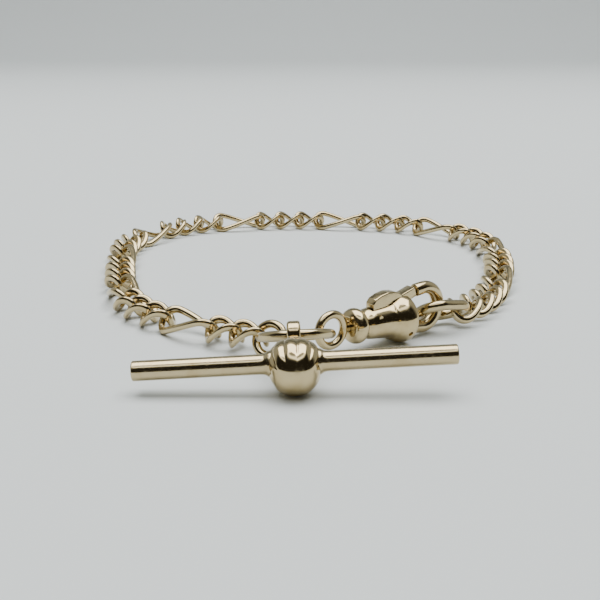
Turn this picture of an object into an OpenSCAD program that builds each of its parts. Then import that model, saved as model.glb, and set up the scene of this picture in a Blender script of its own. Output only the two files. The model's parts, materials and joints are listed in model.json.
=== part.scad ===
// Albert watch chain: figaro curb links, T-bar with fluted bead, and swivel dog clip.
// It lies on a table, fastened in a loop. X runs along the T-bar, Y away from it, Z up.
// The origin is on the table, under the middle of the whole chain.

/* [Curb links] */
// Diameter of the link wire
wire_d = 1.0; // [0.9:0.05:1.0]
// Width across one link
link_w = 4.9; // [4.7:0.1:5.2]
// Distance from one short link to the next
short_pitch = 3.95; // [3.9:0.05:4.05]
// Distance that one long link spans
long_pitch = 8.4; // [8.2:0.1:8.6]
// Play between the wires of neighbouring links, at each end
link_play = 0.1; // [0.08:0.01:0.14]
// Quarter twist of a link's end, from the flat
link_twist = 45; // [42:1:48]

/* [Rings] */
// Wire diameter of the large ring that holds the T-bar
bar_ring_wire = 1.15; // [1.0:0.05:1.2]
// Outside diameter of that ring
bar_ring_d = 9.6; // [9.4:0.1:9.8]
// Wire diameter of the jump ring between it and the first link
jump_wire = 1.05; // [0.9:0.05:1.1]
// Outside diameter of the jump ring
jump_d = 5.0; // [5.0:0.1:5.1]
// Wire diameter of the long ring that the clip hooks into
end_ring_wire = 1.4; // [1.3:0.1:1.4]
// Width across that ring
end_ring_w = 5.8; // [5.8:0.1:6.0]

/* [T-bar] */
// Length of the bar from end to end
bar_len = 36; // [30:1:40]
// Diameter of the bar
bar_d = 2.27; // [2.0:0.01:2.4]
// Width of the lobed bead along the bar
bead_w = 6.0; // [5.8:0.1:6.2]
// Mean radius of the bead about the bar
bead_r = 3.24; // [3.1:0.02:3.3]
// How far the bead swells towards its bowl
bead_swell = 0.46; // [0.4:0.02:0.5]
// Number of lobes round the bead
lobes = 11; // [9:1:12]
// Lean of the bead's axis from upright, as it lies
bar_lean = 70; // [68:1:72]
// Rise of the bar's right end over its left
bar_roll = 3.2; // [2.5:0.1:3.5]

/* [Dog clip] */
// Length of the barrel
barrel_len = 9.4; // [9.3:0.1:9.6]
// Largest radius of the bell
bell_r = 3.15; // [3.1:0.05:3.2]
// Diameter of the hook wire
hook_wire = 1.7; // [1.6:0.05:1.75]
// Radius of the hook's bend, to the middle of the wire
hook_r = 2.65; // [2.6:0.05:2.7]
// Wire diameter of the swivel eye
swivel_wire = 1.05; // [0.9:0.05:1.1]
// Outside diameter of the swivel eye
swivel_d = 5.0; // [4.9:0.1:5.1]
// Width of the gate lever
gate_w = 1.5; // [1.3:0.1:1.5]

/* [Hidden] */
$fn = 48;
gold = "darkkhaki";

// Where the pieces lie. The bar's place sets every other one.
bar_at = [-1.9, -43.6];
bar_z = bead_r + bead_swell + 0.005;
bar_ring_at = [bar_at.x + 0.1, bar_at.y + 8.85, 3.87];
bar_ring_tilt = [-20.4, -3.2, 0];
jump_heading = 148;
jump_roll = 115;
jump_at = [bar_at.x - 3.08, bar_at.y + 11.93,
    (jump_d - jump_wire) / 2 * sin(jump_roll) + jump_wire / 2];
clip_at = [bar_at.x + 6.5, bar_at.y + 12.8, 3.64];
clip_heading = 38;
clip_rise = -3;

// How the chain lies: the turn at each joint, in degrees, one row for each run of the pattern.
start_heading = 143;
turns = [-1, 2,
    5, 9, 12, 10,
    5, 1, 0, 2,
    4, 8, 10, 13,
    14, 14, 12, 10,
    7, 5, 4, 4,
    6, 8, 10, 12,
    14, 13, 11, 9,
    6, 4, 3, 3,
    5, 5, 6, 8];
first_rises = [-4, -3, -2];
last_rises = [2, 3, 3];
link_count = len(turns) + 1;
flat_z = 1.62;

function is_long(i) = i >= 2 && i < link_count - 1 && (i - 2) % 4 == 0;
function pitch(i) = is_long(i) ? long_pitch : short_pitch;
function rise(i) = i < len(first_rises) ? first_rises[i]
    : i >= link_count - len(last_rises) ? last_rises[i - link_count + len(last_rises)] : 0;
function along(h, s) = [cos(h) * cos(s), sin(h) * cos(s), sin(s)];
function unit(v) = v / norm(v);
start_drop = pitch(0) * sin(rise(0)) + pitch(1) * sin(rise(1)) + pitch(2) * sin(rise(2));
jump_inner = jump_d / 2 - jump_wire;
chain_start = [jump_at.x, jump_at.y, flat_z - start_drop]
    + (jump_inner - 0.05) * along(jump_heading, 0);
headings = [for (i = 0, h = start_heading; i < link_count;
    h = h - (i < len(turns) ? turns[i] : 0), i = i + 1) h];
joints_at = [for (i = 0, p = chain_start; i <= link_count;
    p = p + (i < link_count ? pitch(i) * along(headings[i], rise(i)) : [0, 0, 0]), i = i + 1) p];

// The end ring spans from inside the last link to inside the hook.
last = link_count - 1;
ring_in_link = joints_at[link_count]
    - (end_ring_wire / 2 + link_play) * along(headings[last], rise(last));
hook_mid = [barrel_len + 3.5, 0, 0.9];
strand_in_clip = [hook_mid.x - 0.05, 0, 0.4];
clip_axis = along(clip_heading, clip_rise);
clip_up = along(clip_heading, clip_rise + 90);
ring_in_hook = clip_at + strand_in_clip.x * clip_axis + strand_in_clip.z * clip_up;
ring_span = ring_in_hook - ring_in_link;
ring_heading = atan2(ring_span.y, ring_span.x);
ring_rise = asin(ring_span.z / norm(ring_span));
ring_roll = 32;

// The gate lever turns on its pin, inside the barrel.
gate_pin_at = [3.9, 0, 1.0];
gate_pin_r = 0.3;
spring_pin_at = [8.25, 0, -1.4];
slot_w = gate_w + 0.2;
shank_r = 0.6;

// ---- shapes that repeat ----

// A closed tube of round wire along the points of a loop; ups gives each point's own up.
module wire_loop(points, ups, r, sides = 8) {
    n = len(points);
    skin = [for (i = [0:n - 1]) let (
            t = unit(points[(i + 1) % n] - points[(i + n - 1) % n]),
            u = unit(cross(ups[i], t)),
            v = cross(t, u))
        for (k = [0:sides - 1])
            points[i] + r * (cos(360 * k / sides) * u + sin(360 * k / sides) * v)];
    faces = [for (i = [0:n - 1]) for (k = [0:sides - 1]) let (
            a = i * sides + k, b = i * sides + (k + 1) % sides,
            c = ((i + 1) % n) * sides + (k + 1) % sides, d = ((i + 1) % n) * sides + k)
        [a, b, c, d]];
    polyhedron(points = skin, faces = faces, convexity = 4);
}

// The middle line of a flat link: two half rounds and two straight sides.
function half_round(x, r, from, steps) =
    [for (k = [0:steps]) [x + r * cos(from + 180 * k / steps), r * sin(from + 180 * k / steps)]];
function side_points(x0, x1, y, steps) =
    [for (k = [1:steps]) [x0 + (x1 - x0) * k / (steps + 1), y]];
function link_line(len, w, steps) = let (r = (w - wire_d) / 2, x = (len - wire_d) / 2 - r)
    concat(half_round(x, r, -90, 9), side_points(x, -x, r, steps),
        half_round(-x, r, 90, 9), side_points(-x, x, -r, steps));

// One curb link, twisted about its length so that its ends stand crossed.
module curb_link(p, steps) {
    flat = link_line(p + 2 * wire_d + 2 * link_play, link_w, steps);
    turn = [for (q = flat) -link_twist * q.x / (p / 2)];
    points = [for (i = [0:len(flat) - 1])
        [flat[i].x, flat[i].y * cos(turn[i]), flat[i].y * sin(turn[i])]];
    ups = [for (a = turn) [0, -sin(a), cos(a)]];
    color(gold) wire_loop(points, ups, wire_d / 2);
}

module chain_link(i) {
    translate((joints_at[i] + joints_at[i + 1]) / 2)
        rotate([0, -rise(i), headings[i]])
            curb_link(pitch(i), is_long(i) ? 5 : 1);
}

module round_ring(d, wire) {
    rotate_extrude() translate([(d - wire) / 2, 0]) circle(d = wire, $fn = 24);
}

module in_bar_frame() {
    translate([bar_at.x, bar_at.y, bar_z]) rotate([-bar_lean, -bar_roll, 0]) children();
}

module in_clip_frame() {
    translate(clip_at) rotate([0, -clip_rise, clip_heading]) children();
}

// ---- T-bar ----

cap_len = 1.0;
arm_start = bead_w / 2 + 0.03;
tenon_d = 1.6;

// One arm, with a tenon that is soldered into the bead.
module bar_arm() {
    color(gold) rotate([0, 90, 0]) {
        translate([0, 0, arm_start]) cylinder(h = bar_len / 2 - cap_len - arm_start, d = bar_d);
        translate([0, 0, 1]) cylinder(h = arm_start - 1, d = tenon_d);
    }
}

module left_arm() { in_bar_frame() mirror([1, 0, 0]) bar_arm(); }
module right_arm() { in_bar_frame() bar_arm(); }

// A flat end cap with a small rounded edge.
module end_cap() {
    edge = 0.25;
    color(gold) translate([bar_len / 2 - cap_len, 0, 0]) rotate([0, 90, 0]) rotate_extrude() {
        square([bar_d / 2, cap_len - edge]);
        square([bar_d / 2 - edge, cap_len]);
        translate([bar_d / 2 - edge, cap_len - edge]) circle(r = edge, $fn = 24);
    }
}

module left_end_cap() { in_bar_frame() mirror([1, 0, 0]) end_cap(); }
module right_end_cap() { in_bar_frame() end_cap(); }

// The bead: lobes round the eye's side that fade into a smooth bowl. It is drawn along rays
// from its middle; a is the angle round the eye's axis and t the angle down from it.
bead_high = 2.1;
bead_steps = 15;
lobe_at = -7;
function bead_swelling(ray) = bead_r - bead_swell * cos(atan2(-ray.z, -ray.y) + 25);
function bead_reach(ray) = let (p = 2.3)
    1 / pow(pow(abs(ray.x) / (bead_w / 2), p)
        + pow(norm([ray.y, ray.z]) / bead_swelling(ray), p), 1 / p);
function lobe(a, z) = 1 - 0.06 * (1 - abs(cos(lobes * (a - lobe_at) / 2)))
    * max(0, min(1, (z + 2.6) / 1.4));
function bead_point(a, t) = let (
        ray = [sin(t) * sin(a), -sin(t) * cos(a), cos(t)],
        far = bead_reach(ray),
        q = (ray.z > 0 ? min(far, bead_high / ray.z) : far) * ray)
    [q.x * lobe(a, q.z), q.y * lobe(a, q.z), q.z];

module bead_barrel() {
    around = 55;
    skin = concat([bead_point(0, 0)],
        [for (k = [1:bead_steps - 1]) for (j = [0:around - 1])
            bead_point(360 * j / around, 15 + 165 * k / bead_steps)],
        [bead_point(0, 180)]);
    ring = function (k, j) 1 + (k - 1) * around + j % around;
    sides = [for (k = [1:bead_steps - 2]) for (j = [0:around - 1])
        [ring(k, j), ring(k, j + 1), ring(k + 1, j + 1), ring(k + 1, j)]];
    top = [for (j = [0:around - 1]) [0, ring(1, j + 1), ring(1, j)]];
    bottom = [for (j = [0:around - 1])
        [len(skin) - 1, ring(bead_steps - 1, j), ring(bead_steps - 1, j + 1)]];
    color(gold) in_bar_frame() difference() {
        polyhedron(points = skin, faces = concat(sides, top, bottom), convexity = 4);
        for (side = [-90, 90]) rotate([0, side, 0])
            translate([0, 0, 1]) cylinder(h = bead_w, d = tenon_d + 0.02);
    }
}

// The domed cap over the bead's eye end.
module bead_cap() {
    cap_r = 1.9;
    color(gold) in_bar_frame() translate([0, 0, bead_high]) rotate_extrude() {
        square([cap_r, 0.3]);
        polygon([[0, 0.3], [cap_r, 0.3], [1.6, 0.55], [1.0, 0.75], [0, 0.8]]);
    }
}

// The eye: a thick round band with its hole along the bar, on a short neck.
eye_z = 4.95;
eye_hole_r = 0.95;
eye_wall = 0.65;
module bar_eye() {
    color(gold) in_bar_frame() {
        translate([0, 0, eye_z]) rotate([0, 90, 0]) rotate_extrude() {
            translate([eye_hole_r + eye_wall / 2, 0]) {
                square([eye_wall, 0.9], center = true);
                translate([0, 0.45]) circle(d = eye_wall, $fn = 24);
                translate([0, -0.45]) circle(d = eye_wall, $fn = 24);
            }
        }
        translate([0, 0, bead_high + 0.8])
            cylinder(h = eye_z - eye_hole_r - 0.3 - bead_high - 0.8, r = 0.7);
    }
}

// ---- rings ----

module bar_ring() {
    color(gold) translate(bar_ring_at) rotate(bar_ring_tilt) round_ring(bar_ring_d, bar_ring_wire);
}

module jump_ring() {
    color(gold) translate(jump_at) rotate([jump_roll, 0, jump_heading])
        round_ring(jump_d, jump_wire);
}

// The end ring: two half rounds joined by two straight sides.
module end_ring() {
    r = (end_ring_w - end_ring_wire) / 2;
    x = norm(ring_span) / 2 - r;
    color(gold) translate((ring_in_link + ring_in_hook) / 2)
        rotate([0, -ring_rise, ring_heading]) rotate([ring_roll, 0, 0])
            for (s = [0, 180]) rotate([0, 0, s]) {
                translate([x, 0, 0]) rotate([0, 0, -90]) rotate_extrude(angle = 180)
                    translate([r, 0]) circle(d = end_ring_wire, $fn = 24);
                translate([-x, r, 0]) rotate([0, 90, 0])
                    cylinder(h = 2 * x, d = end_ring_wire, $fn = 24);
            }
}

// ---- dog clip, along its own X from the small end to the hook ----

module swivel_eye() {
    color(gold) in_clip_frame() {
        translate([-2.7, 0, 0]) rotate([90, 0, 0]) round_ring(swivel_d, swivel_wire);
        translate([-0.7, 0, 0]) rotate([0, 90, 0]) cylinder(h = 3.3, r = shank_r);
    }
}

// The head that holds the swivel's shank inside the barrel.
module swivel_rivet() {
    color(gold) in_clip_frame() translate([2.6, 0, 0]) rotate([0, 90, 0])
        cylinder(h = 0.4, r = 1.1);
}

module clip_barrel() {
    bore_r = 1.5;
    color(gold) in_clip_frame() difference() {
        rotate([0, 90, 0]) rotate_extrude() {
            translate([1.1, 1.15]) circle(r = 1.1, $fn = 40);
            square([1.1, 2.25]);
            polygon([[0, 1.2], [1.8, 1.8], [1.75, 2.5], [1.95, 3.0], [2.35, 6.5], [2.55, 6.9],
                [2.95, 7.6], [bell_r, 8.3], [bell_r, barrel_len - 0.3],
                [bell_r - 0.2, barrel_len], [0, barrel_len]]);
        }
        translate([-1, 0, 0]) rotate([0, 90, 0]) cylinder(h = 4, r = shank_r + 0.06);
        translate([2.5, 0, 0]) rotate([0, 90, 0]) cylinder(h = 6.1, r = bore_r);
        translate([3.2, -slot_w / 2, -0.7]) cube([barrel_len, slot_w, bell_r + 2]);
        translate(gate_pin_at) rotate([90, 0, 0]) cylinder(h = 9, r = gate_pin_r, center = true);
        translate(spring_pin_at) rotate([90, 0, 0]) cylinder(h = 9, r = gate_pin_r, center = true);
    }
}

// The hook: a straight arm from the bell, a round bend and a straight tip.
arm_dip = 5.5;
hook_turn = 98;
hook_tip_len = 1.5;
module clip_hook() {
    arm_to = hook_mid - hook_r * [sin(arm_dip), 0, cos(arm_dip)];
    arm_len = (arm_to.x - barrel_len) / cos(arm_dip);
    color(gold) in_clip_frame() {
        intersection() {
            translate(arm_to) rotate([0, arm_dip - 90, 0])
                cylinder(h = arm_len + 0.5, d = hook_wire);
            translate([barrel_len, -2, -4]) cube([8, 4, 8]);
        }
        translate(arm_to) rotate([0, arm_dip - 90, 0]) translate([0, 0, -0.3])
            cylinder(h = 0.6, d = hook_wire - 0.4);
        translate(hook_mid) rotate([90, 0, 0]) rotate([0, 0, -90 - arm_dip])
            rotate_extrude(angle = 90 + arm_dip + hook_turn)
                translate([hook_r, 0]) circle(d = hook_wire);
        translate(hook_mid + hook_r * [cos(hook_turn), 0, sin(hook_turn)])
            rotate([0, -hook_turn, 0]) cylinder(h = hook_tip_len, d = hook_wire);
    }
}

// The gate lever: pivot boss, thumb piece and the bar that closes the hook.
module gate_lever() {
    color(gold) in_clip_frame() difference() {
        union() {
            translate(gate_pin_at) rotate([90, 0, 0])
                cylinder(h = gate_w, r = 0.6, center = true);
            rotate([90, 0, 0]) linear_extrude(height = gate_w, center = true)
                polygon([[3.4, 1.2], [4.4, 0.7], [8.4, 1.7], [10.9, 2.75], [10.45, 4.05],
                    [8.2, 3.3], [7.6, 3.7], [5.6, 3.9], [3.7, 3.2], [3.3, 2.6]]);
        }
        translate(gate_pin_at) rotate([90, 0, 0])
            cylinder(h = 9, r = gate_pin_r + 0.04, center = true);
    }
}

module gate_pin() {
    color(gold) in_clip_frame() translate(gate_pin_at) rotate([90, 0, 0])
        cylinder(h = 3.6, r = gate_pin_r, center = true);
}

// The leaf spring, held by its pin, that presses the lever up.
module gate_spring() {
    color("silver") in_clip_frame() rotate([90, 0, 0]) linear_extrude(height = 1, center = true)
        polygon([[3.6, -0.1], [4.4, -0.2], [6.6, -1.0], [8.4, -1.1], [8.4, -0.95], [6.6, -0.85],
            [4.4, -0.05], [3.6, 0.05]]);
}

module spring_pin() {
    color(gold) in_clip_frame() translate(spring_pin_at) rotate([90, 0, 0])
        cylinder(h = 4.6, r = gate_pin_r, center = true);
}

left_arm();
right_arm();
left_end_cap();
right_end_cap();
bead_barrel();
bead_cap();
bar_eye();
bar_ring();
jump_ring();
chain_link(0);  // link_01
chain_link(1);  // link_02
chain_link(2);  // link_03
chain_link(3);  // link_04
chain_link(4);  // link_05
chain_link(5);  // link_06
chain_link(6);  // link_07
chain_link(7);  // link_08
chain_link(8);  // link_09
chain_link(9);  // link_10
chain_link(10);  // link_11
chain_link(11);  // link_12
chain_link(12);  // link_13
chain_link(13);  // link_14
chain_link(14);  // link_15
chain_link(15);  // link_16
chain_link(16);  // link_17
chain_link(17);  // link_18
chain_link(18);  // link_19
chain_link(19);  // link_20
chain_link(20);  // link_21
chain_link(21);  // link_22
chain_link(22);  // link_23
chain_link(23);  // link_24
chain_link(24);  // link_25
chain_link(25);  // link_26
chain_link(26);  // link_27
chain_link(27);  // link_28
chain_link(28);  // link_29
chain_link(29);  // link_30
chain_link(30);  // link_31
chain_link(31);  // link_32
chain_link(32);  // link_33
chain_link(33);  // link_34
chain_link(34);  // link_35
chain_link(35);  // link_36
chain_link(36);  // link_37
chain_link(37);  // link_38
chain_link(38);  // link_39
end_ring();
swivel_eye();
swivel_rivet();
clip_barrel();
clip_hook();
gate_lever();
gate_pin();
gate_spring();
spring_pin();
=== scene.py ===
import json
import math
import bpy
import bmesh
from mathutils import Matrix, Vector


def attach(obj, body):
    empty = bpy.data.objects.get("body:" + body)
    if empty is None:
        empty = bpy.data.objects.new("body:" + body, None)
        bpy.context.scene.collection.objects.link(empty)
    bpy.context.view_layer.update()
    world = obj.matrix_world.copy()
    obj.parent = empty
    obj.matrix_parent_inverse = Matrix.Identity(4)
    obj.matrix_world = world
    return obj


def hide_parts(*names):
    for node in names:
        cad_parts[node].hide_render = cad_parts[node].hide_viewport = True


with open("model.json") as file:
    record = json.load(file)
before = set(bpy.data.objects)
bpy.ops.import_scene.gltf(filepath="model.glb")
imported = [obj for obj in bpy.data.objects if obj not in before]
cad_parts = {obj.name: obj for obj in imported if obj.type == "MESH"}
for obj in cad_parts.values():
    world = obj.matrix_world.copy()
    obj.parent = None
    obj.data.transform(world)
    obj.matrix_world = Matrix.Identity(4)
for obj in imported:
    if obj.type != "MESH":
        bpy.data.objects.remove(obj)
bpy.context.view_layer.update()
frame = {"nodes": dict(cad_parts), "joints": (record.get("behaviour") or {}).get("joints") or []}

# ---- The table, the light and the camera ----
# A pale paper sheet that lies flat and sweeps up behind, under one broad soft lamp,
# in a pale room that is darker low down in front. The camera looks slightly down.
sheet_front, sheet_back, sheet_half = -0.6, 0.9, 0.9
sweep_radius = 0.25

bm = bmesh.new()
edge = bmesh.ops.create_grid(bm, x_segments=1, y_segments=1, size=0.5)
bmesh.ops.delete(bm, geom=[v for v in bm.verts if v.co.y > 0], context="VERTS")
for v in bm.verts:
    v.co = Vector((sheet_half * (1 if v.co.x > 0 else -1), sheet_front, 0))
paper_edge = bm.edges[:] or [bm.edges.new(bm.verts)]
flat = bmesh.ops.extrude_edge_only(bm, edges=paper_edge)["geom"]
bmesh.ops.translate(bm, verts=[g for g in flat if isinstance(g, bmesh.types.BMVert)],
                    vec=(0, sheet_back - sheet_front, 0))
bmesh.ops.spin(bm, geom=[g for g in flat if isinstance(g, bmesh.types.BMEdge)],
               cent=(0, sheet_back, sweep_radius), axis=(1, 0, 0), angle=math.radians(88),
               steps=24, use_merge=False)
top_z = max(v.co.z for v in bm.verts)
rim = [e for e in bm.edges if all(abs(v.co.z - top_z) < 1e-6 for v in e.verts)]
lift = bmesh.ops.extrude_edge_only(bm, edges=rim)["geom"]
bmesh.ops.translate(bm, verts=[g for g in lift if isinstance(g, bmesh.types.BMVert)],
                    vec=(0, 0.03, 0.9))
bmesh.ops.recalc_face_normals(bm, faces=bm.faces)
paper_mesh = bpy.data.meshes.new("paper_sheet")
bm.to_mesh(paper_mesh)
bm.free()
for f in paper_mesh.polygons:
    f.use_smooth = True
paper = bpy.data.objects.new("paper_sheet", paper_mesh)
bpy.context.scene.collection.objects.link(paper)
paper_white = bpy.data.materials.new("paper_white")
paper_white.use_nodes = True
skin = paper_white.node_tree.nodes["Principled BSDF"]
skin.inputs["Base Color"].default_value = (0.74, 0.785, 0.80, 1)
skin.inputs["Roughness"].default_value = 0.9
skin.inputs["Specular IOR Level"].default_value = 0.1
paper_mesh.materials.append(paper_white)


class Sock:
    """A node's output that sums, products and comparisons can be written with."""

    def __init__(self, tree, out):
        self.tree, self.out = tree, out

    def node(self, kind, settings=None, **sockets):
        n = self.tree.nodes.new(kind)
        for key, value in (settings or {}).items():
            setattr(n, key, value)
        for key, value in sockets.items():
            spot = n.inputs[int(key[1:])] if key[0] == "i" and key[1:].isdigit() else n.inputs[key]
            if isinstance(value, Sock):
                self.tree.links.new(value.out, spot)
            else:
                spot.default_value = value
        return n

    def out_of(self, kind, settings=None, output=0, **sockets):
        return Sock(self.tree, self.node(kind, settings, **sockets).outputs[output])

    def sum_up(self, operation, a, b):
        return self.out_of("ShaderNodeMath", {"operation": operation}, i0=a, i1=b)

    def __add__(self, b): return self.sum_up("ADD", self, b)
    def __radd__(self, b): return self.sum_up("ADD", b, self)
    def __sub__(self, b): return self.sum_up("SUBTRACT", self, b)
    def __rsub__(self, b): return self.sum_up("SUBTRACT", b, self)
    def __mul__(self, b): return self.sum_up("MULTIPLY", self, b)
    def __rmul__(self, b): return self.sum_up("MULTIPLY", b, self)
    def over(self, low, high):
        return self.out_of("ShaderNodeMapRange", {"interpolation_type": "SMOOTHSTEP"},
                           i0=self, i1=low, i2=high, i3=0.0, i4=1.0)

    def blend(self, a, b):
        """Colour a where this is 0, colour b where it is 1."""
        return self.out_of("ShaderNodeMix", {"data_type": "RGBA"}, 2, i0=self, i6=a, i7=b)


# The room: a pale ceiling, a brighter wall behind, and a dark room low down in front.
room = bpy.data.worlds.new("studio_room")
bpy.context.scene.world = room
room.use_nodes = True
room.node_tree.nodes.clear()
start = Sock(room.node_tree, None)
look = start.out_of("ShaderNodeTexCoord")
way = start.node("ShaderNodeSeparateXYZ")
room.node_tree.links.new(look.out, way.inputs[0])
side, ahead, up = (Sock(room.node_tree, o) for o in way.outputs)
front = (0.0 - ahead).over(-0.25, 0.15)
low = 1 - up.over(0.70, 0.80)
dark = front * low
lamp_band = up.over(0.78, 0.82) * (1 - up.over(0.88, 0.92)) * front
tone = dark.blend((0.50, 0.52, 0.50, 1), (0.028, 0.026, 0.022, 1))
tone = lamp_band.blend(tone, (2.6, 2.6, 2.5, 1))
glow = start.node("ShaderNodeBackground", Color=tone, Strength=1.0)
end = room.node_tree.nodes.new("ShaderNodeOutputWorld")
room.node_tree.links.new(glow.outputs[0], end.inputs[0])

lamp_data = bpy.data.lights.new("soft_lamp", "AREA")
lamp_data.shape = "RECTANGLE"
lamp_data.size, lamp_data.size_y = 1.1, 0.7
lamp_data.energy = 12
lamp_data.color = (1.0, 0.99, 0.97)
lamp = bpy.data.objects.new("soft_lamp", lamp_data)
lamp.location = (0.05, 0.15, 0.9)
lamp.rotation_euler = (math.radians(-8), 0, 0)
bpy.context.scene.collection.objects.link(lamp)

camera_data = bpy.data.cameras.new("camera")
camera_data.lens = 56.4
camera_data.sensor_width = 36
camera_data.clip_start = 0.01
camera = bpy.data.objects.new("camera", camera_data)
camera_aim = Vector((-0.0013, -0.0066, 0))
camera_height = math.radians(16.4)
camera_distance = 0.140
camera.location = camera_aim + camera_distance * Vector(
    (0, -math.cos(camera_height), math.sin(camera_height)))
camera.rotation_euler = (math.radians(90) - camera_height, 0, 0)
bpy.context.scene.collection.objects.link(camera)
bpy.context.scene.camera = camera

# ---- T-bar arms ----
# Two drawn gold rods with flat, softly edged ends, soldered into the sides of the bead;
# the solder leaves a small flare at each joint.
bar_place = (Matrix.Translation((-0.0019, -0.0436, 0.003705))
             @ Matrix.Rotation(math.radians(-3.2), 4, "Y") @ Matrix.Rotation(math.radians(-70), 4, "X"))
mm = Matrix.Scale(0.001, 4)


def gold_finish(name, tone=(0.56, 0.455, 0.26), shine=0.13, wear=1.0):
    """Pale 9 carat gold: polished, with soft tarnish, hairline scratches and tiny pits."""
    metal = bpy.data.materials.new(name)
    metal.use_nodes = True
    tree = metal.node_tree
    body = tree.nodes["Principled BSDF"]
    body.inputs["Metallic"].default_value = 1.0
    here = Sock(tree, None).out_of("ShaderNodeTexCoord", output=3)
    cloud = here.out_of("ShaderNodeTexNoise", i0=here, Scale=420.0, Detail=3.0, Roughness=0.55)
    stain = cloud.over(0.42, 0.72)
    dark_tone = tuple(c * k for c, k in zip(tone, (0.80, 0.74, 0.62)))
    colour = (stain * 0.55).blend((*tone, 1), (*dark_tone, 1))
    tree.links.new(colour.out, body.inputs["Base Color"])
    grain = here.out_of("ShaderNodeTexNoise", i0=here, Scale=2600.0, Detail=2.0)
    rub = here.out_of("ShaderNodeTexNoise", i0=here, Scale=900.0, Detail=4.0, Distortion=1.2)
    rough = rub.over(0.45, 0.75) * 0.12 * wear + shine
    tree.links.new(rough.out, body.inputs["Roughness"])
    pits = here.out_of("ShaderNodeTexVoronoi", i0=here, Scale=1500.0)
    pocks = 1 - pits.over(0.05, 0.22)
    height = cloud * 0.35 + grain * 0.10 * wear - pocks * 0.12 * wear
    bump = here.out_of("ShaderNodeBump", Strength=0.16, Distance=0.00012, Height=height)
    tree.links.new(bump.out, body.inputs["Normal"])
    return metal


def finished(name, bm, place, material, body, nodes, crease=35):
    """Lays a closed shape in its place and hands it over as the piece for those nodes."""
    bmesh.ops.remove_doubles(bm, verts=bm.verts, dist=1e-5)
    bmesh.ops.transform(bm, matrix=place @ mm, verts=bm.verts)
    bmesh.ops.recalc_face_normals(bm, faces=bm.faces)
    mesh = bpy.data.meshes.new(name)
    bm.to_mesh(mesh)
    bm.free()
    mesh.polygons.foreach_set("use_smooth", [True] * len(mesh.polygons))
    mesh.set_sharp_from_angle(angle=math.radians(crease))
    mesh.materials.append(material)
    piece = bpy.data.objects.new(name, mesh)
    bpy.context.scene.collection.objects.link(piece)
    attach(piece, body)
    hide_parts(*nodes)
    return piece


def turned(outline, axis=(1, 0, 0), closed=False, steps=96):
    """A shape turned on a lathe from its outline, in millimetres."""
    bm = bmesh.new()
    line = [bm.verts.new(p) for p in outline]
    pairs = list(zip(line, line[1:] + line[:1] if closed else line[1:]))
    edges = [bm.edges.new(pair) for pair in pairs]
    bmesh.ops.spin(bm, geom=line + edges, cent=(0, 0, 0), axis=axis,
                   angle=2 * math.pi, steps=steps, use_merge=True)
    return bm


bar_gold = gold_finish("gold_bar", tone=(0.55, 0.45, 0.265), shine=0.15)
arm_outline = [(2.3, 0, 0), (2.3, 1.50, 0), (2.85, 1.46, 0), (3.06, 1.33, 0), (3.25, 1.22, 0),
               (3.55, 1.155, 0), (4.0, 1.135, 0)]
arm_outline += [(x, 1.135, 0) for x in (6, 9, 12, 15, 17.3)]
arm_outline += [(17.8 + 0.18 * math.sin(a), 0.955 + 0.18 * math.cos(a), 0)
                for a in (math.radians(15 * k) for k in range(7))]
arm_outline += [(17.985, 0.4, 0), (17.985, 0, 0)]
for side, cap in (("left", "left_end_cap"), ("right", "right_end_cap")):
    bm = turned(arm_outline)
    if side == "left":
        bmesh.ops.scale(bm, vec=(-1, 1, 1), verts=bm.verts)
    finished(f"{side}_arm_rod", bm, bar_place, bar_gold, "t_bar", [f"{side}_arm", cap])

# ---- Bead ----
# A cast gold bead, lobed like a melon round the eye's side and smooth as a bowl below,
# where it rests. It is polished after the arms are soldered in.
bead_half, bead_radius, bead_swell, bead_top = 3.0, 3.24, 0.46, 2.1
bead_squareness, shoulder_crispness = 2.3, 14
lobe_count, lobe_turn, lobe_depth = 11, math.radians(-7), 0.075


def bead_skin(ray):
    around = math.atan2(-ray.z, -ray.y) + math.radians(25)
    reach = bead_radius - bead_swell * math.cos(around)
    far = ((abs(ray.x) / bead_half) ** bead_squareness
           + (math.hypot(ray.y, ray.z) / reach) ** bead_squareness) ** (-1 / bead_squareness)
    if ray.z > 0:
        flat = bead_top / ray.z
        far = (far ** -shoulder_crispness + flat ** -shoulder_crispness) ** (-1 / shoulder_crispness)
    point = far * ray
    turn = math.atan2(ray.x, -ray.y)
    groove = 1 - abs(math.cos(lobe_count * (turn - lobe_turn) / 2)) ** 0.8
    fade = max(0.0, min(1.0, (point.z + 2.6) / 1.4)) * min(1.0, (2.25 - point.z) / 0.5)
    sink = 1 - lobe_depth * groove * fade
    return Vector((point.x * sink, point.y * sink, point.z))


bm = bmesh.new()
bmesh.ops.create_uvsphere(bm, u_segments=264, v_segments=110, radius=1)
for v in bm.verts:
    v.co = bead_skin(v.co.normalized())
bead_gold = gold_finish("gold_bead", tone=(0.57, 0.46, 0.26), shine=0.11)
finished("lobed_bead", bm, bar_place, bead_gold, "t_bar", ["bead_barrel"], crease=60)

bm = turned([(0, 0, 1.9), (1.95, 0, 1.95), (1.9, 0, 2.22), (1.6, 0, 2.5), (1.25, 0, 2.68),
             (0.9, 0, 2.8),
             (0.72, 0, 3.0), (0.68, 0, 3.3), (0.72, 0, 3.6), (0, 0, 3.6)], axis=(0, 0, 1))
finished("bead_cap_dome", bm, bar_place, bead_gold, "t_bar", ["bead_cap"], crease=50)

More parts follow.
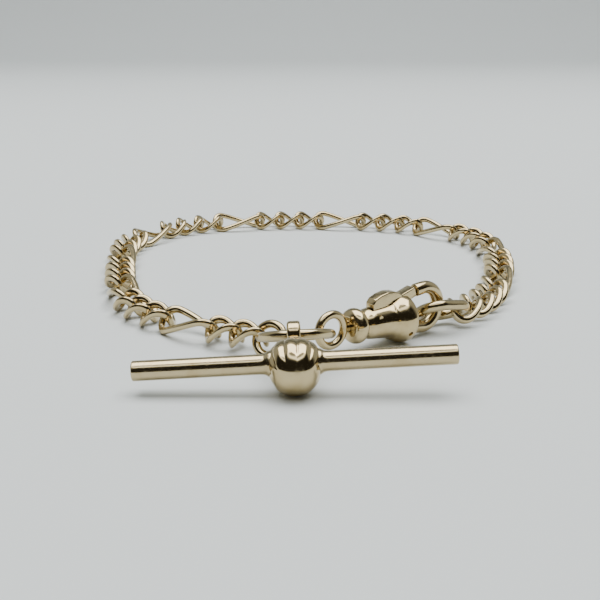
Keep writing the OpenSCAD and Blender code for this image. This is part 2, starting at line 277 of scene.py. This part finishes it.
# ---- Bar eye ----
# A thick round loop of gold, soldered to the bead's cap, that the large ring runs through.
eye_outline = [(0.45 + 0.325 * math.sin(a), 1.275 + 0.325 * math.cos(a), 0)
               for a in (math.radians(12 * k) for k in range(16))]
eye_outline += [(-0.45 - 0.325 * math.sin(a), 1.275 - 0.325 * math.cos(a), 0)
                for a in (math.radians(12 * k) for k in range(16))]
bm = turned(eye_outline, closed=True, steps=72)
finished("bar_eye_loop", bm, bar_place @ Matrix.Translation((0, 0, 0.00495)), bead_gold,
         "t_bar", ["bar_eye"])

# ---- Rings ----
# Round gold wire bent to a ring and soldered shut. The large one carries the bar's eye, the
# small one the first link, and the long one at the far end drops into the clip's hook.
ring_gold = gold_finish("gold_rings", tone=(0.56, 0.455, 0.26), shine=0.13)


def wire_ring(outside, wire, half_side=0.0, cuts=0, section=20, steps=90):
    """A ring of round wire in its own flat, drawn out along X where half_side isn't 0."""
    bm = bmesh.new()
    bmesh.ops.create_circle(bm, segments=section, radius=wire / 2)
    bmesh.ops.rotate(bm, matrix=Matrix.Rotation(math.radians(90), 3, "X"), verts=bm.verts)
    bmesh.ops.translate(bm, vec=((outside - wire) / 2, 0, 0), verts=bm.verts)
    bmesh.ops.spin(bm, geom=bm.verts[:] + bm.edges[:], cent=(0, 0, 0), axis=(0, 0, 1),
                   angle=2 * math.pi, steps=steps, use_merge=True)
    if half_side:
        bmesh.ops.rotate(bm, matrix=Matrix.Rotation(math.pi / steps, 3, "Z"), verts=bm.verts)
        for v in bm.verts:
            v.co.x += half_side if v.co.x > 0 else -half_side
        sides = [e for e in bm.edges if e.verts[0].co.x * e.verts[1].co.x < 0]
        if cuts:
            bmesh.ops.subdivide_edges(bm, edges=sides, cuts=cuts, use_grid_fill=True)
    return bm


finished("bar_ring_wire", wire_ring(9.6, 1.15, section=24, steps=120),
         Matrix.Translation((-0.0018, -0.03475, 0.00387))
         @ Matrix.Rotation(math.radians(-3.2), 4, "Y") @ Matrix.Rotation(math.radians(-20.4), 4, "X"),
         ring_gold, "bar_ring", ["bar_ring"])
jump_low = (5.0 - 1.05) / 2 * math.sin(math.radians(115)) + 1.05 / 2
finished("jump_ring_wire", wire_ring(5.0, 1.05),
         Matrix.Translation((-0.00498, -0.03167, jump_low / 1000))
         @ Matrix.Rotation(math.radians(148), 4, "Z") @ Matrix.Rotation(math.radians(115), 4, "X"),
         ring_gold, "jump_ring", ["jump_ring"])


def lying_at(body):
    """The place and length direction of a link or long ring, from the hinge it rocks on."""
    hinge = next(j for j in frame["joints"] if j["child"] == body)
    x, y, z = hinge["axis"]
    return (Matrix.Translation(hinge["pos_m"]) @ Matrix.Rotation(math.atan2(y, x), 4, "Z")
            @ Matrix.Rotation(-math.asin(z), 4, "Y"))


end_ring_span = 7.196
finished("end_ring_wire", wire_ring(5.8, 1.4, half_side=end_ring_span / 2 - 2.2, cuts=2, section=28),
         lying_at("end_ring") @ Matrix.Rotation(math.radians(32), 4, "X"),
         ring_gold, "end_ring", ["end_ring"])

# ---- Curb links ----
# Thirty-nine links of round gold wire: three short, one long, over and over. Each is bent,
# threaded through its neighbour, soldered, and twisted so that the chain lies flat.
link_gold = gold_finish("gold_links", tone=(0.56, 0.455, 0.26), shine=0.13)
link_wire, link_width, link_play = 1.0, 4.9, 0.1
for number in range(1, 40):
    span = 8.4 if number % 4 == 3 and number < 39 else 3.95
    half_side = (span + 2 * link_wire + 2 * link_play - link_wire) / 2 - (link_width - link_wire) / 2
    bm = wire_ring(link_width, link_wire, half_side=half_side, cuts=12 if span > 5 else 3,
                   section=16, steps=56)
    for v in bm.verts:
        v.co = Matrix.Rotation(math.radians(-45) * v.co.x / (span / 2), 3, "X") @ v.co
    body = f"link_{number:02d}"
    finished(f"{body}_wire", bm, lying_at(body), link_gold, body, [body])

# ---- Swivel eye ----
# A ring of gold wire on a shank that turns in the barrel, held inside by a rivet head.
clip_place = (Matrix.Translation((0.0046, -0.0308, 0.00364))
              @ Matrix.Rotation(math.radians(38), 4, "Z") @ Matrix.Rotation(math.radians(3), 4, "Y"))
clip_gold = gold_finish("gold_clip", tone=(0.57, 0.46, 0.26), shine=0.11)
bm = wire_ring(5.0, 1.05)
bmesh.ops.rotate(bm, matrix=Matrix.Rotation(math.radians(90), 3, "X"), verts=bm.verts)
bmesh.ops.translate(bm, vec=(-2.7, 0, 0), verts=bm.verts)
finished("swivel_eye_ring", bm, clip_place, clip_gold, "swivel", ["swivel_eye"])
bm = turned([(-0.72, 0, 0), (-0.72, 0.62, 0), (-0.35, 0.6, 0), (2.6, 0.6, 0), (2.6, 0, 0)], steps=48)
finished("swivel_shank", bm, clip_place, clip_gold, "swivel", ["swivel_eye"])

# ---- Clip barrel ----
# Turned gold: a round collar, a waist, a gently flared body and a bell at the hook's end,
# slotted along its top for the gate lever.
ball = [(1.1 - 1.1 * math.cos(a), 1.15 + 1.1 * math.sin(a), 0)
        for a in (math.radians(12 * k) for k in range(14))]
barrel_outline = [(0, 0.66, 0)] + ball + [(2.32, 1.66, 0), (2.5, 1.72, 0), (2.75, 1.86, 0),
                  (3.0, 1.95, 0),
                  (3.6, 2.02, 0), (4.6, 2.1, 0), (5.6, 2.2, 0), (6.2, 2.28, 0),
                  (6.5, 2.36, 0), (6.62, 2.5, 0),
                  (6.9, 2.56, 0), (7.15, 2.72, 0), (7.6, 2.95, 0), (8.0, 3.09, 0), (8.4, 3.15, 0),
                  (8.9, 3.15, 0), (9.15, 3.1, 0), (9.33, 2.99, 0), (9.4, 2.85, 0), (9.4, 0, 0),
                  (8.6, 0, 0), (8.6, 1.5, 0), (2.5, 1.5, 0), (2.5, 0.66, 0)]
bm = turned(barrel_outline, closed=True, steps=128)
barrel = finished("barrel_shell", bm, clip_place, clip_gold, "clip", ["clip_barrel"])


def cut_away(piece, name, low, high=None, round_cut=0.0):
    """Cuts a box from low to high, or a round hole across at low, out of a piece of the clip."""
    bm = bmesh.new()
    if round_cut:
        bmesh.ops.create_cone(bm, cap_ends=True, segments=32,
                              radius1=round_cut, radius2=round_cut, depth=12)
        bmesh.ops.rotate(bm, matrix=Matrix.Rotation(math.radians(90), 3, "X"), verts=bm.verts)
        bmesh.ops.translate(bm, vec=low, verts=bm.verts)
    else:
        bmesh.ops.create_cube(bm, size=1)
        for v in bm.verts:
            v.co = Vector([h if c > 0 else l for c, l, h in zip(v.co, low, high)])
    bmesh.ops.transform(bm, matrix=clip_place @ mm, verts=bm.verts)
    mesh = bpy.data.meshes.new(name)
    bm.to_mesh(mesh)
    bm.free()
    cutter = bpy.data.objects.new(name, mesh)
    bpy.context.scene.collection.objects.link(cutter)
    cut = piece.modifiers.new("cut", "BOOLEAN")
    cut.operation, cut.solver, cut.object = "DIFFERENCE", "EXACT", cutter
    bpy.context.view_layer.update()
    shape = bpy.data.meshes.new_from_object(piece.evaluated_get(bpy.context.evaluated_depsgraph_get()))
    piece.modifiers.remove(cut)
    piece.data = shape
    bpy.data.objects.remove(cutter)


cut_away(barrel, "lever_slot", (3.2, -0.85, -0.7), (10, 0.85, 4.5))
cut_away(barrel, "spring_pin_hole", (8.25, 0, -1.4), round_cut=0.3)

# ---- Clip hook ----
# A tapering gold rod, bent round to meet the gate and soldered to the bell.
hook_wire, hook_bend = 1.7, 2.65
hook_mid = Vector((12.9, 0, 0.9))
dip, hook_turn = math.radians(5.5), math.radians(98)
bm = bmesh.new()
bmesh.ops.create_circle(bm, segments=32, radius=hook_wire / 2)
bmesh.ops.rotate(bm, matrix=Matrix.Rotation(math.radians(90) + dip, 3, "Y"), verts=bm.verts)
arm_end = hook_mid - hook_bend * Vector((math.sin(dip), 0, math.cos(dip)))
arm_way = Vector((math.cos(dip), 0, -math.sin(dip)))
arm_length = (arm_end.x - 9.3) / math.cos(dip)
bmesh.ops.translate(bm, vec=arm_end - arm_length * arm_way, verts=bm.verts)
start_rim = bm.edges[:]
bmesh.ops.contextual_create(bm, geom=start_rim)
moved = bmesh.ops.extrude_edge_only(bm, edges=start_rim)["geom"]
bmesh.ops.translate(bm, vec=arm_length * arm_way,
                    verts=[g for g in moved if isinstance(g, bmesh.types.BMVert)])
loop = [g for g in moved if isinstance(g, bmesh.types.BMEdge)
        and all((v.co - arm_end).length < hook_wire for v in g.verts)]
bent = bmesh.ops.spin(bm, geom=loop, cent=hook_mid, axis=(0, -1, 0),
                      angle=math.radians(90) + dip + hook_turn, steps=72, use_merge=False)["geom_last"]
tip_way = Vector((-math.sin(hook_turn), 0, math.cos(hook_turn)))
for step, size in ((1.25, 1.0), (0.12, 0.96), (0.08, 0.86), (0.05, 0.7)):
    edges = [g for g in bent if isinstance(g, bmesh.types.BMEdge)]
    bent = bmesh.ops.extrude_edge_only(bm, edges=edges)["geom"]
    ends = [g for g in bent if isinstance(g, bmesh.types.BMVert)]
    bmesh.ops.translate(bm, vec=step * tip_way, verts=ends)
    middle = sum((v.co for v in ends), Vector()) / len(ends)
    if size < 1:
        for v in ends:
            v.co = middle + (v.co - middle) * size
bmesh.ops.contextual_create(bm, geom=[g for g in bent if isinstance(g, bmesh.types.BMEdge)])
finished("hook_rod", bm, clip_place, clip_gold, "clip", ["clip_hook"])

# ---- Gate lever ----
# A flat gold lever on a cross pin: its hump is pressed by the thumb, and its far end
# closes the hook from inside.
bm = bmesh.new()
outline = [(3.5, 1.3), (4.3, 0.85), (8.4, 1.75), (10.9, 2.8), (10.5, 4.0), (8.3, 3.25), (7.7, 3.62),
           (6.9, 3.82), (5.9, 3.84), (4.8, 3.6), (3.8, 3.15), (3.4, 2.6)]
side_face = bm.faces.new([bm.verts.new((x, -0.75, z)) for x, z in outline])
deep = bmesh.ops.extrude_face_region(bm, geom=[side_face])["geom"]
bmesh.ops.translate(bm, vec=(0, 1.5, 0), verts=[g for g in deep if isinstance(g, bmesh.types.BMVert)])
bmesh.ops.bevel(bm, geom=bm.edges[:], offset=0.16, affect="EDGES", segments=3, profile=0.5, material=-1)
finished("gate_lever_body", bm, clip_place, clip_gold, "gate", ["gate_lever"], crease=50)

# ---- Rivet, pins and leaf spring ----
# Plain drawn pins and a rivet head hold the swivel, the lever and its steel leaf spring.
steel = bpy.data.materials.new("spring_steel")
steel.use_nodes = True
blade = steel.node_tree.nodes["Principled BSDF"]
blade.inputs["Metallic"].default_value = 1.0
blade.inputs["Base Color"].default_value = (0.45, 0.46, 0.48, 1)
here = Sock(steel.node_tree, None).out_of("ShaderNodeTexCoord", output=3)
drawn = here.out_of("ShaderNodeTexNoise", i0=here, Scale=1800.0, Detail=3.0)
steel.node_tree.links.new((drawn * 0.25 + 0.22).out, blade.inputs["Roughness"])
for node in ("swivel_rivet", "gate_pin", "spring_pin"):
    frame["nodes"][node].data.materials.clear()
    frame["nodes"][node].data.materials.append(clip_gold)
frame["nodes"]["gate_spring"].data.materials.clear()
frame["nodes"]["gate_spring"].data.materials.append(steel)
